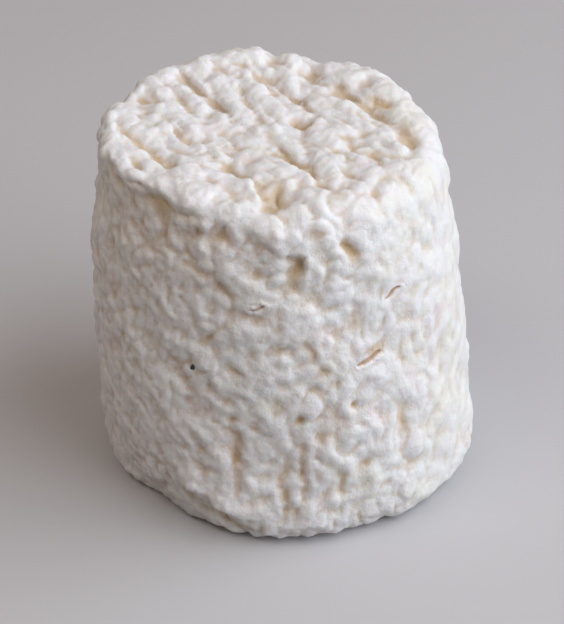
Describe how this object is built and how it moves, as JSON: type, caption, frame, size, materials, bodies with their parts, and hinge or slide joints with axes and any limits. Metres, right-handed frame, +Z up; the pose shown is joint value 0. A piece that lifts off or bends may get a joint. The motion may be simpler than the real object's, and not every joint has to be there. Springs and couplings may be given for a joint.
{
  "type": "chabichou cheese",
  "caption": "Small ripened goat's-milk cheese: a leaning tapered drum with a folded lip, slanting creases across its top and a pebbled rind.",
  "frame": {"origin": "middle of the flat base that the cheese stands on", "axes": "+Z up towards the narrow end; -Y is the front, the side that the usual view shows, and +X is to its right"},
  "size_m": [0.0623, 0.0625, 0.0591],
  "materials": {
    "rind": "ivory, velvety, wrinkled rind, ochre in its creases"
  },
  "bodies": {
    "root": {"cheese": "rind"}
  },
  "joints": []
}
